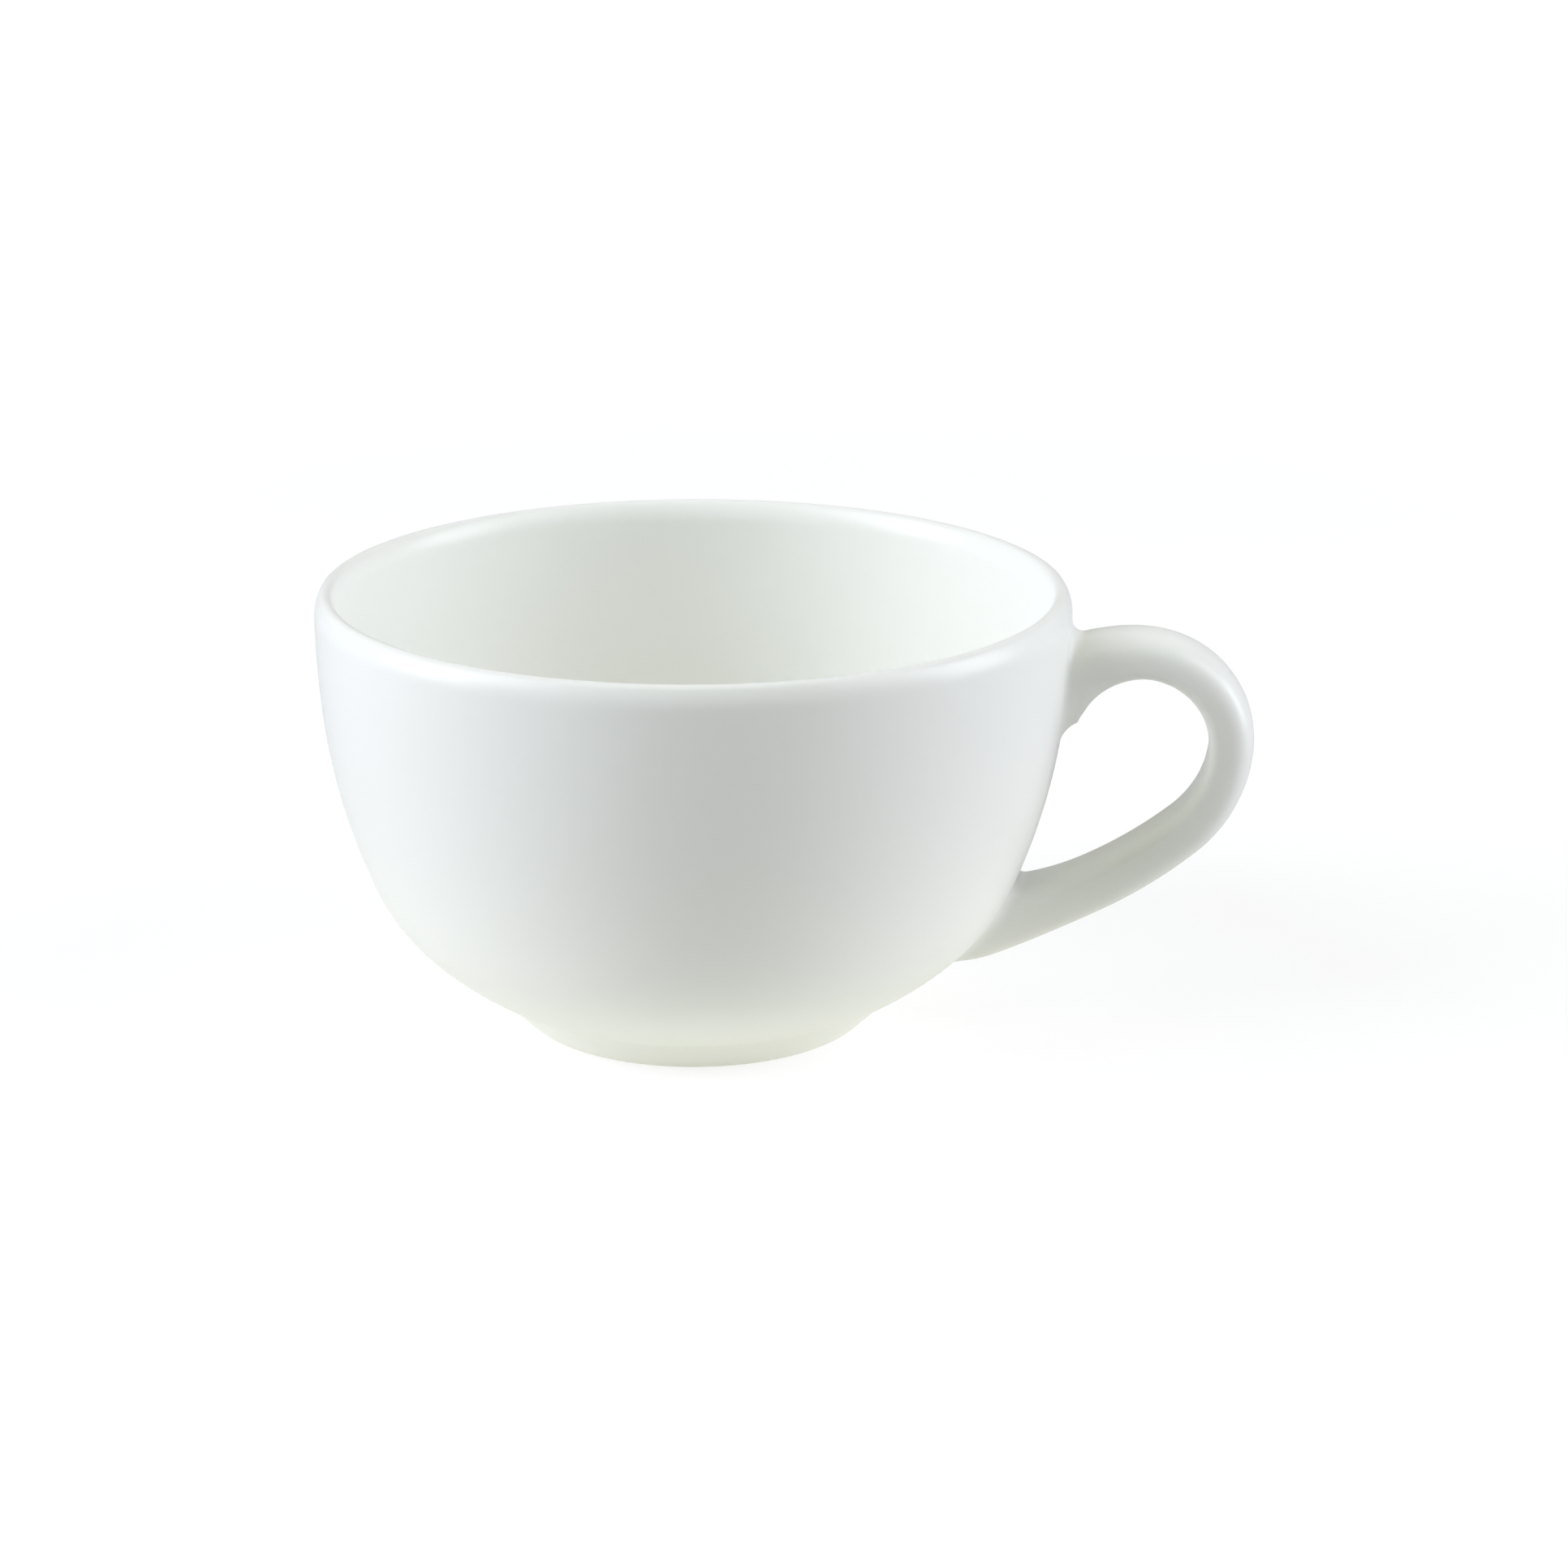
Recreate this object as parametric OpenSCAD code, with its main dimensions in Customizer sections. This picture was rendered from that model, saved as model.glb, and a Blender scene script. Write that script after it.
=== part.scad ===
// Cappuccino cup in glazed porcelain: a roller-formed body, a cast handle luted on with slip, and the glaze.
// The cup stands on z = 0 with its axis on z, and the handle points along +x.

/* [Bowl] */
// Diameter over the lip
rim_d = 100; // [80:1:120]
// Height from the table to the crest of the lip
cup_h = 59.8; // [50:0.2:75]
// Thickness of the rounded lip
lip_t = 3.1; // [2.4:0.1:4]
// Thickness of the side wall, a quarter of the way down
wall_t = 3.4; // [2.8:0.1:4.4]
// Thickness of the wall where the bowl turns under
turn_t = 4.4; // [3.6:0.1:5.4]
// Radius of the inside corner between wall and floor
corner_r = 17; // [14:0.5:19]
// Height of the inside floor above the table
floor_h = 7.6; // [6.6:0.1:9]

/* [Foot] */
// Outer diameter of the bare standing ring
ring_d = 43.8; // [38:0.2:48]
// Diameter of the recess inside the standing ring, over its glaze
ring_bore_d = 39.2; // [34:0.2:42]
// Height of the bare ring below the glaze
bare_h = 0.4; // [0.3:0.05:0.6]
// Height of the foot, up to its corner with the bowl
foot_h = 5.3; // [4.6:0.1:6]
// Radius of the foot's rounded lower edge
foot_round = 2.4; // [1.6:0.1:3]
// Lean of the foot's side from upright, in degrees
foot_flare = 46; // [40:1:50]
// Height of the recess under the foot, at the axis
recess_h = 2.8; // [2:0.1:3.2]
// Radius of the domed roof of the recess
recess_dome_r = 200; // [150:5:300]

/* [Handle] */
// Drop from the crest of the lip to the middle of the upper joint
handle_drop = 11.2; // [9.6:0.1:13]
// Slope at which the handle leaves the upper joint, in degrees
rise_angle = 40; // [34:0.5:44]
// Radius of the rise from the upper joint
rise_r = 17; // [15:0.2:19]
// Angle that the rise turns through, in degrees
rise_arc_angle = 24; // [20:0.5:28]
// Radius of the crown
crown_r = 12; // [11:0.1:13.5]
// Angle that the crown turns through, in degrees
crown_arc_angle = 117.5; // [112:0.5:122]
// Radius of the bend into the lower arm
bend_r = 18.7; // [17:0.1:21]
// Height of the middle of the lower joint above the table
lower_joint_h = 14.3; // [13:0.1:16]
// Slope at which the arm leaves the lower joint, in degrees
arm_angle = 17; // [12:0.5:22]
// Thickness of the handle, seen from the side
handle_t = 6.2; // [5:0.1:7.5]
// Width of the handle
handle_w = 10.5; // [8:0.1:12]
// Added thickness at the upper joint
upper_swell = 3.2; // [2:0.1:4.5]
// Distance from the wall over which the upper swell runs out
upper_swell_l = 15.4; // [12:0.2:19]
// Added thickness at the lower joint
lower_swell = 3.2; // [2:0.1:4.5]
// Distance from the wall over which the lower swell runs out
lower_swell_l = 28; // [22:0.2:34]
// Added width at both joints
joint_spread = 1.6; // [0:0.1:3]
// Distance from the wall within which the section turns flat onto it
seat_blend = 7; // [5:0.1:9]

/* [Coat and joints] */
// Thickness of the glaze
glaze_t = 0.3; // [0.15:0.05:0.3]
// Thickness of the slip in the handle joints
slip_t = 0.6; // [0.4:0.05:1]

/* [Hidden] */

$fn = 144;
porcelain = "#EDEBE4";
slip_white = "#DFDCD2";
glaze_white = "#F4F5F1";

rim_r = rim_d / 2;
lip_r = lip_t / 2;
lip_h = cup_h - lip_r;
crest_r = rim_r - lip_r;
ring_r = ring_d / 2;
ring_bore_r = ring_bore_d / 2;
foot_round_centre = [ring_r, foot_round];
foot_normal = [cos(foot_flare), -sin(foot_flare)];
// Reach of a cut past the face that it opens
overrun = 2;
// Fineness to which the radii and levels of the outlines are kept
grid = 0.001;

// Points of the bowl's outline from the lip down to the foot's corner,
// as shares of the way from that corner out to the rim and up to the crest
bowl_shares = [[0.97, 0.707], [0.695, 0.28], [0.413, 0.119], [0, 0]];
// Height at which the bowl's outline ends within the foot, as a share of the foot's height
tail_share = 0.7;
// Height at which the foot's side ends within the bowl, as a share of the foot's height
foot_top_share = 1.25;

// Squareness of the handle's section: 2 is an ellipse
section_power = 2.4;
// Depth of the handle's drawn ends within the bowl, before they are cut to its surface
root_depth = 2 * wall_t;
rings = 56;
sides = 24;
// Rings at each end that take in the whole joint
joint_rings = 18;

function on_grid(x) = round(x / grid) * grid;

// Unit normal on the axis side of a line that runs down an outline
function axis_side(t) = [t.y, -t.x];

// Tangent arcs from p, heading along t, past a row of points.
// Each is its centre, its radius and its unit normals towards the centre, at the start and at the end.
function arc_chain(p, t, points, i = 0) =
    i == len(points) ? [] :
    let (chord = points[i] - p)
    let (r = on_grid(chord * chord / (2 * (chord * axis_side(t)))))
    let (t_end = 2 * (chord * t) / (chord * chord) * chord - t)
    let (centre = p + axis_side(t) * r)
    concat([[centre, r, axis_side(t), axis_side(t_end)]],
           arc_chain(centre - axis_side(t_end) * r, t_end, points, i + 1));

// Start and end of an arc, moved towards its centre by a skin's thickness
function arc_start(arc, skin = 0) = arc[0] - arc[2] * (arc[1] - skin);
function arc_end(arc, skin = 0) = arc[0] - arc[3] * (arc[1] - skin);

// Point at a height on the foot's flared side, and the foot's corner with the bowl
function foot_side(z, skin = 0) =
    let (tangent = foot_round_centre + foot_normal * (foot_round - skin))
    [tangent.x + (z - tangent.y) * tan(foot_flare), z];
foot_corner = foot_side(foot_h);

// Outside of the bowl
down = [0, -1];
crest = [rim_r, cup_h];
bowl_points = [for (s = bowl_shares) [for (k = [0, 1]) foot_corner[k] + s[k] * (crest[k] - foot_corner[k])]];
bowl_arcs = arc_chain([rim_r, lip_h], down, bowl_points);

// Inside of the bowl: two arcs down the wall, a corner arc and a dished floor
wall_arcs = arc_chain([rim_r - lip_t, lip_h], down,
                      [arc_start(bowl_arcs[1], wall_t), arc_start(bowl_arcs[2], turn_t)]);
wall_last = wall_arcs[len(wall_arcs) - 1];
corner_centre = arc_end(wall_last) + wall_last[3] * corner_r;
corner_h = corner_centre.y - floor_h;
dish_r = on_grid((corner_centre.x ^ 2 + corner_h ^ 2 - corner_r ^ 2) / (2 * (corner_h - corner_r)));
dish_centre = [0, corner_centre.y + sqrt((dish_r - corner_r) ^ 2 - corner_centre.x ^ 2)];
dish_normal = (dish_centre - corner_centre) / (dish_r - corner_r);
hollow_arcs = concat(wall_arcs, [[corner_centre, corner_r, wall_last[3], dish_normal],
                                 [dish_centre, dish_r, dish_normal, -down]]);

// Arc of the bowl's outside at a height, and the radius and lean of the wall there
function arc_at(z) = bowl_arcs[[for (i = [0 : len(bowl_arcs) - 1])
    if (i == len(bowl_arcs) - 1 || z >= arc_end(bowl_arcs[i]).y) i][0]];
function bowl_level(z) = min(max(z, foot_h), lip_h);
function wall_r(z) = let (a = arc_at(z)) a[0].x + sqrt(a[1] ^ 2 - (bowl_level(z) - a[0].y) ^ 2);
function wall_lean(z) = let (a = arc_at(z)) asin((a[0].y - bowl_level(z)) / a[1]);

// Handle's centre line in its own plane: clockwise arcs, each a radius and an angle, from the upper joint
function wall_point(z) = [wall_r(z), z];
function aim(h) = [cos(h), sin(h)];
function arc_l(a) = a[0] * a[1] * PI / 180;
function arc_step(h, r, a) = r * [sin(h) - sin(h - a), cos(h - a) - cos(h)];
crown_arcs = [[rise_r, rise_arc_angle], [crown_r, crown_arc_angle]];
upper_joint = wall_point(cup_h - handle_drop);
function arcs_end(arcs, p, h, i = 0) =
    i == len(arcs) ? [p, h] :
    arcs_end(arcs, p + arc_step(h, arcs[i][0], arcs[i][1]), h - arcs[i][1], i + 1);

// Bend and arm, tangent to each other, from the crown's end to the lower joint
crown_end = arcs_end(crown_arcs, upper_joint, rise_angle);
arm_heading = arm_angle - 180;
arm_normal = axis_side(aim(arm_heading));
arm_span = wall_point(lower_joint_h) - crown_end[0] - bend_r * axis_side(aim(crown_end[1]));
arm_r = (bend_r ^ 2 - arm_span * arm_span) / (2 * (arm_span * arm_normal + bend_r));
bend_side = axis_side(-arm_span - arm_r * arm_normal) * (arm_r > bend_r ? 1 : -1);
bend_heading = atan2(bend_side.y, bend_side.x);
function turn(from, to) = (from - to + 540) % 360 - 180;
handle_arcs = concat(crown_arcs, [[bend_r, turn(crown_end[1], bend_heading)],
                                  [arm_r, turn(bend_heading, arm_heading)]]);
function sum(v, i = 0) = i == len(v) ? 0 : v[i] + sum(v, i + 1);
handle_l = sum([for (a = handle_arcs) arc_l(a)]);

// Point and heading at distance d along the centre line, straight on within the wall at both ends
function walk(d, p = upper_joint, h = rise_angle, i = 0) =
    d < 0 || i == len(handle_arcs) ? [p + d * aim(h), h] :
    let (arc = handle_arcs[i])
    let (within = d <= arc_l(arc))
    let (a = within ? d / arc[0] * 180 / PI : arc[1])
    let (q = p + arc_step(h, arc[0], a))
    within ? [q, h - a] : walk(d - arc_l(arc), q, h - a, i + 1);

// Share of a swell that is left at a gap from the wall
function swell_share(gap, run_out) = max(0, 1 - gap / run_out) ^ 3;
function smooth_share(x) = let (s = min(max(x, 0), 1)) s * s * (3 - 2 * s);
function bulge(x) = sign(x) * abs(x) ^ (2 / section_power);

// One ring of the handle's surface, a skin's thickness inside the glazed one
function handle_ring(i, skin) =
    let (d = -root_depth + (handle_l + 2 * root_depth) * i / rings)
    let (w = walk(d))
    let (c = w[0])
    let (upper = d < handle_l / 2)
    let (gap = max(0, c.x - wall_r(c.y)))
    let (swell = swell_share(gap, upper ? upper_swell_l : lower_swell_l))
    let (t = handle_t + swell * (upper ? upper_swell : lower_swell))
    let (across = w[1] + 90)
    let (seat = upper ? 90 - wall_lean(c.y) : -90 - wall_lean(c.y))
    let (shear = (seat - across) * smooth_share(1 - gap / seat_blend))
    let (half_t = (t / 2 - skin) / cos(shear))
    let (half_w = (handle_w + swell * joint_spread) / 2 - skin)
    [for (j = [0 : sides - 1])
        let (u = half_t * bulge(cos(360 * j / sides)))
        let (v = half_w * bulge(sin(360 * j / sides)))
        [c.x + u * cos(across + shear), v, c.y + u * sin(across + shear)]];

// Stretch of the handle between two rings, closed at both ends
module handle_stretch(skin, first = 0, last = rings) {
    count = last - first;
    points = [for (i = [first : last]) each handle_ring(i, skin)];
    corner = function (i, j) i * sides + j % sides;
    bands = [for (i = [0 : count - 1], j = [0 : sides - 1]) each
        [[corner(i, j), corner(i, j + 1), corner(i + 1, j)],
         [corner(i, j + 1), corner(i + 1, j + 1), corner(i + 1, j)]]];
    start = [for (j = [sides - 1 : -1 : 0]) corner(0, j)];
    end = [for (j = [0 : sides - 1]) corner(count, j)];
    polyhedron(points, concat([start], bands, [end]));
}

// Moves by a step on the grid and then by the rest, which keeps every digit of the place
module place(p) {
    coarse = [for (v = p) on_grid(v)];
    translate(coarse) translate(p - coarse) children();
}

// Area on the axis side of an outline of arcs, stacked in bands from the top down to a bottom level
module arc_bands(arcs, skin, bottom) {
    levels = [for (a = arcs) on_grid(arc_start(a, skin).y), on_grid(bottom)];
    for (i = [0 : len(arcs) - 1]) {
        centre = arcs[i][0];
        band_h = levels[i] - levels[i + 1];
        intersection() {
            union() {
                place(centre) circle(arcs[i][1] - skin);
                if (centre.x > 0)
                    translate([0, levels[i + 1]]) square([centre.x, band_h]);
            }
            translate([0, levels[i + 1]]) square([rim_d, band_h]);
        }
    }
}

// Foot's outline with its rounded lower edge and flared side
module foot_area(skin) {
    top = foot_top_share * foot_h;
    tangent = foot_round_centre + foot_normal * (foot_round - skin);
    translate(foot_round_centre) circle(foot_round - skin);
    polygon([[0, skin], [ring_r, skin], tangent, foot_side(top, skin), [0, top]]);
}

// Outside of the body as a filled outline, below the lip
module outer_area(skin) {
    arc_bands(bowl_arcs, skin, tail_share * foot_h);
    foot_area(skin);
}

// Upper half of the lip's round
module lip_area(skin) {
    intersection() {
        translate([crest_r, lip_h]) circle(lip_r - skin);
        translate([crest_r - lip_r, lip_h]) square([lip_t, lip_t]);
    }
}

// Inside of the cup below the lip, grown into the wall by a skin's thickness
module hollow_area(skin) {
    arc_bands(hollow_arcs, -skin, floor_h - overrun);
}

// Recess under the foot, grown into the body by a skin's thickness
module recess_area(skin) {
    intersection() {
        translate([0, recess_h - recess_dome_r]) circle(recess_dome_r + skin);
        translate([0, -overrun]) square([ring_bore_r + skin, recess_h + overrun + foot_round]);
    }
}

// Whole outside as a solid, without the hollow
module outer_solid(skin) {
    rotate_extrude() outer_area(skin);
}

// Joint of slip between the body and one end of the handle
module slip_joint(first, last) {
    intersection() {
        handle_stretch(glaze_t, first, last);
        difference() {
            outer_solid(glaze_t - slip_t);
            outer_solid(glaze_t);
        }
    }
}

module cup_body() {
    color(porcelain) rotate_extrude() {
        difference() {
            outer_area(glaze_t);
            hollow_area(glaze_t);
            recess_area(glaze_t);
        }
        lip_area(glaze_t);
        translate([ring_bore_r + glaze_t, 0]) square([ring_r - ring_bore_r - glaze_t, bare_h]);
    }
}

module handle() {
    color(porcelain) difference() {
        handle_stretch(glaze_t);
        outer_solid(glaze_t - slip_t);
    }
}

module upper_slip_joint() {
    color(slip_white) slip_joint(0, joint_rings);
}

module lower_slip_joint() {
    color(slip_white) slip_joint(rings - joint_rings, rings);
}

module outer_glaze() {
    color(glaze_white) difference() {
        rotate_extrude() difference() {
            union() {
                outer_area(0);
                lip_area(0);
            }
            outer_area(glaze_t);
            lip_area(glaze_t);
            square([ring_r + foot_round, bare_h]);
            translate([0, lip_h]) square([crest_r, lip_t]);
        }
        handle_stretch(glaze_t, 0, joint_rings);
        handle_stretch(glaze_t, rings - joint_rings, rings);
    }
}

module inner_glaze() {
    color(glaze_white) rotate_extrude() {
        difference() {
            hollow_area(glaze_t);
            hollow_area(0);
        }
        difference() {
            lip_area(0);
            lip_area(glaze_t);
            translate([crest_r, lip_h]) square([lip_t, lip_t]);
        }
    }
}

module handle_glaze() {
    color(glaze_white) difference() {
        handle_stretch(0);
        handle_stretch(glaze_t, -1, rings + 1);
        outer_solid(0);
    }
}

module foot_recess_glaze() {
    color(glaze_white) rotate_extrude() difference() {
        recess_area(glaze_t);
        recess_area(0);
        translate([0, -overrun]) square([rim_r, bare_h + overrun]);
    }
}

cup_body();
handle();
upper_slip_joint();
lower_slip_joint();
outer_glaze();
inner_glaze();
handle_glaze();
foot_recess_glaze();
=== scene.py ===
"""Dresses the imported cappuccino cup: white glazed porcelain on a pale studio floor."""

import logging
import math
from dataclasses import dataclass
from enum import Enum

import bmesh
import bpy
from mathutils import Matrix, Vector


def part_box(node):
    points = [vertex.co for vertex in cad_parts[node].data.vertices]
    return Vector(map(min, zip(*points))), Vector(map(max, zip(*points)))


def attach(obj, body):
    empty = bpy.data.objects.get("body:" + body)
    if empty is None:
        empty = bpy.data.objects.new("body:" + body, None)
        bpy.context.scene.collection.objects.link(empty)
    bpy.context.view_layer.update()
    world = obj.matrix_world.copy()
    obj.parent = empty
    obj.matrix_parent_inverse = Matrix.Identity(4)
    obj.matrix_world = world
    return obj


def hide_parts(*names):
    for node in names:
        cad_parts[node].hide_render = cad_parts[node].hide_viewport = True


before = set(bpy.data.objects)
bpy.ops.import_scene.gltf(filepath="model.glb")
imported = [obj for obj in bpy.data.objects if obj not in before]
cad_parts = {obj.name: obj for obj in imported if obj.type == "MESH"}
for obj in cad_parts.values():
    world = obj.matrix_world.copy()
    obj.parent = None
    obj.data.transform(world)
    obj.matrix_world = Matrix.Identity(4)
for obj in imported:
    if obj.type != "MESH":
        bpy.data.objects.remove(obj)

log = logging.getLogger("cup")

MM = 0.001
BODY = "root"
UP = Vector((0.0, 0.0, 1.0))
Shade = tuple[float, float, float]
Ring = list[bmesh.types.BMEdge]
WHITE: Shade = (1.0, 1.0, 1.0)


class Slot(Enum):
    """Material slots of the record."""

    PORCELAIN = "porcelain"
    SLIP = "slip"
    GLAZE = "glaze"


class Side(Enum):
    """Sides of the wall, as signs of the way out from the axis."""

    OUTSIDE = 1
    INSIDE = -1


class End(Enum):
    """Ends of the handle."""

    UPPER = "upper"
    LOWER = "lower"


@dataclass(frozen=True)
class Stroke:
    """Line or arc of a half section, in millimetres out from the axis and up."""

    start: Vector
    end: Vector
    centre: Vector | None = None

    def turned(self) -> "Stroke":
        """Return the same stretch, drawn the other way."""
        return Stroke(self.end, self.start, self.centre)


def turned_back(strokes: list[Stroke]) -> list[Stroke]:
    """Return a row of strokes drawn from its end to its start."""
    return [stroke.turned() for stroke in reversed(strokes)]


@dataclass(frozen=True)
class Arc:
    """Arc of an outline that runs down a wall, with its unit normals towards the centre at both ends."""

    centre: Vector
    radius: float
    start_normal: Vector
    end_normal: Vector

    def stroke(self, growth: float) -> Stroke:
        """Return the arc as a stroke, its radius changed by a growth."""
        radius = self.radius + growth
        start = self.centre - self.start_normal * radius
        end = self.centre - self.end_normal * radius
        return Stroke(start, end, self.centre)

    def is_past(self, point: Vector) -> bool:
        """Say whether a point lies beyond the arc's end."""
        onward = Vector((-self.end_normal.y, self.end_normal.x))
        return (point - self.centre).dot(onward) > 0.0


def axis_side(heading: Vector) -> Vector:
    """Return the unit normal on the axis side of a line that runs down an outline."""
    return Vector((heading.y, -heading.x))


def tangent_arcs(start: Vector, heading: Vector, points: list[Vector]) -> list[Arc]:
    """Draw tangent arcs past a row of points.

    Args:
        start: Where the first arc begins.
        heading: Unit direction in which it begins.
        points: Where each arc ends.

    Returns:
        One arc for each point.
    """
    arcs = []
    for point in points:
        chord = point - start
        normal = axis_side(heading)
        radius = chord.length_squared / (2.0 * chord.dot(normal))
        heading = 2.0 * chord.dot(heading) / chord.length_squared * chord - heading
        arcs.append(Arc(start + normal * radius, radius, normal, axis_side(heading)))
        start = point
    return arcs


class Lathe:
    """Draws a half section with extruded and spun points, and turns it about the axis of the cup."""

    STEP_LENGTH = 1.0
    STEP_TURN = math.radians(3.0)
    SEGMENTS = 180
    JOIN = 0.0005

    def __init__(self) -> None:
        """Begin with an empty section."""
        self.mesh = bmesh.new()
        self.tip: bmesh.types.BMVert | None = None

    def line_to(self, point: Vector) -> None:
        """Draw a straight line to a point, or set the pen down on the first one."""
        place = Vector((point.x, 0.0, point.y))
        if self.tip is None:
            self.tip = self.mesh.verts.new(place)
        elif (place - self.tip.co).length > self.JOIN:
            drawn = bmesh.ops.extrude_vert_indiv(self.mesh, verts=[self.tip])
            self.tip = drawn["verts"][0]
            bmesh.ops.translate(self.mesh, verts=[self.tip], vec=place - self.tip.co)

    def arc_to(self, centre: Vector, end: Vector) -> None:
        """Draw an arc round a centre to a point.

        Args:
            centre: Centre of the arc.
            end: Where the arc ends, on the shorter way round.
        """
        start = Vector((self.tip.co.x, self.tip.co.z)) - centre
        angle = start.angle_signed(end - centre)
        steps = math.ceil(max(abs(angle) / self.STEP_TURN, abs(angle) * start.length / self.STEP_LENGTH))
        drawn = bmesh.ops.spin(self.mesh, geom=[self.tip], cent=(centre.x, 0.0, centre.y),
                               axis=(0.0, 1.0, 0.0), angle=angle, steps=steps)
        self.tip = next(part for part in drawn["geom_last"] if isinstance(part, bmesh.types.BMVert))

    def draw(self, strokes: list[Stroke]) -> None:
        """Draw a row of strokes, with a line across any gap between them."""
        for stroke in strokes:
            self.line_to(stroke.start)
            if stroke.centre is None:
                self.line_to(stroke.end)
            else:
                self.arc_to(stroke.centre, stroke.end)

    def turn(self) -> bmesh.types.BMesh:
        """Turn the section about the axis and return the closed piece."""
        bmesh.ops.spin(self.mesh, geom=self.mesh.verts[:] + self.mesh.edges[:], cent=(0.0, 0.0, 0.0),
                       axis=UP, angle=math.tau, steps=self.SEGMENTS, use_merge=True)
        bmesh.ops.remove_doubles(self.mesh, verts=self.mesh.verts, dist=self.JOIN)
        bmesh.ops.recalc_face_normals(self.mesh, faces=self.mesh.faces)
        return self.mesh


@dataclass(frozen=True)
class Finish:
    """Fired surface: two close shades in a fine grain, with roughness and relief from noise."""

    name: str
    shade: Shade
    grain_shade: Shade
    grain_size: float
    roughness: tuple[float, float]
    relief_size: float
    relief_depth: float
    relief_detail: float = 3.0
    grain_detail: float = 1.0
    specular: float = 0.3

    def noise(self, tree: bpy.types.NodeTree, size: float, detail: float) -> bpy.types.Node:
        """Add noise on the piece's own coordinates.

        Args:
            tree: Node tree of the material.
            size: Size of one grain, in millimetres.
            detail: Octaves of finer noise.

        Returns:
            The noise node.
        """
        place = tree.nodes.new("ShaderNodeTexCoord")
        noise = tree.nodes.new("ShaderNodeTexNoise")
        noise.inputs["Scale"].default_value = 1.0 / (size * MM)
        noise.inputs["Detail"].default_value = detail
        tree.links.new(place.outputs["Object"], noise.inputs["Vector"])
        return noise

    def material(self) -> bpy.types.Material:
        """Build the node material of this finish."""
        material = bpy.data.materials.new(self.name)
        material.use_nodes = True
        tree = material.node_tree
        shader = tree.nodes["Principled BSDF"]
        shader.inputs["Specular IOR Level"].default_value = self.specular

        grain = self.noise(tree, self.grain_size, self.grain_detail)
        colour = tree.nodes.new("ShaderNodeMix")
        colour.data_type = "RGBA"
        colour.inputs["A"].default_value = (*self.shade, 1.0)
        colour.inputs["B"].default_value = (*self.grain_shade, 1.0)
        tree.links.new(grain.outputs["Fac"], colour.inputs["Factor"])
        tree.links.new(colour.outputs["Result"], shader.inputs["Base Color"])

        gloss = tree.nodes.new("ShaderNodeMapRange")
        gloss.inputs["To Min"].default_value = self.roughness[0]
        gloss.inputs["To Max"].default_value = self.roughness[1]
        tree.links.new(grain.outputs["Fac"], gloss.inputs["Value"])
        tree.links.new(gloss.outputs["Result"], shader.inputs["Roughness"])

        relief = self.noise(tree, self.relief_size, self.relief_detail)
        bump = tree.nodes.new("ShaderNodeBump")
        bump.inputs["Distance"].default_value = self.relief_depth * MM
        tree.links.new(relief.outputs["Fac"], bump.inputs["Height"])
        tree.links.new(bump.outputs["Normal"], shader.inputs["Normal"])
        return material


GLAZE = Finish("white_glaze", shade=(0.896, 0.906, 0.858), grain_shade=(0.904, 0.914, 0.866),
               grain_size=2.0, roughness=(0.285, 0.325), relief_size=5.0, relief_depth=0.004,
               relief_detail=0.0, specular=0.35)
BARE_CLAY = Finish("bare_porcelain", shade=(0.74, 0.71, 0.66), grain_shade=(0.82, 0.8, 0.76),
                   grain_size=1.2, roughness=(0.75, 0.95), relief_size=0.25, relief_depth=0.03)
FIRED_SLIP = Finish("fired_slip", shade=(0.72, 0.69, 0.63), grain_shade=(0.8, 0.78, 0.73),
                    grain_size=0.8, roughness=(0.8, 1.0), relief_size=0.3, relief_depth=0.04)


@dataclass
class Kiln:
    """Makes finished pieces of meshes, with one material for each slot."""

    sharp_angle: float = math.radians(40.0)

    def __post_init__(self) -> None:
        """Build the materials."""
        finishes = {Slot.PORCELAIN: BARE_CLAY, Slot.SLIP: FIRED_SLIP, Slot.GLAZE: GLAZE}
        self.materials = {slot: finish.material() for slot, finish in finishes.items()}

    def fire(self, name: str, mesh: bmesh.types.BMesh, slot: Slot, *nodes: str) -> bpy.types.Object:
        """Turn a mesh in millimetres into a finished piece.

        Args:
            name: Name of the piece.
            mesh: Mesh of the piece, which is used up.
            slot: Material slot that it takes its finish from.
            nodes: Solids that it stands for.

        Returns:
            The finished piece.
        """
        bmesh.ops.scale(mesh, vec=(MM, MM, MM), verts=mesh.verts)
        data = bpy.data.meshes.new(name)
        mesh.to_mesh(data)
        mesh.free()
        data.shade_smooth()
        data.set_sharp_from_angle(angle=self.sharp_angle)
        data.materials.append(self.materials[slot])
        piece = bpy.data.objects.new(name, data)
        bpy.context.scene.collection.objects.link(piece)
        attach(piece, BODY)
        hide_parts(*nodes)
        log.info("%s: %d faces", name, len(data.polygons))
        return piece

    def coat(self, node: str, slot: Slot) -> None:
        """Give a solid that stays as it is the finish of a slot."""
        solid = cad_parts[node]
        solid.data.materials.clear()
        solid.data.materials.append(self.materials[slot])
        log.info("%s: kept, %s", node, slot.value)


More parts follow.
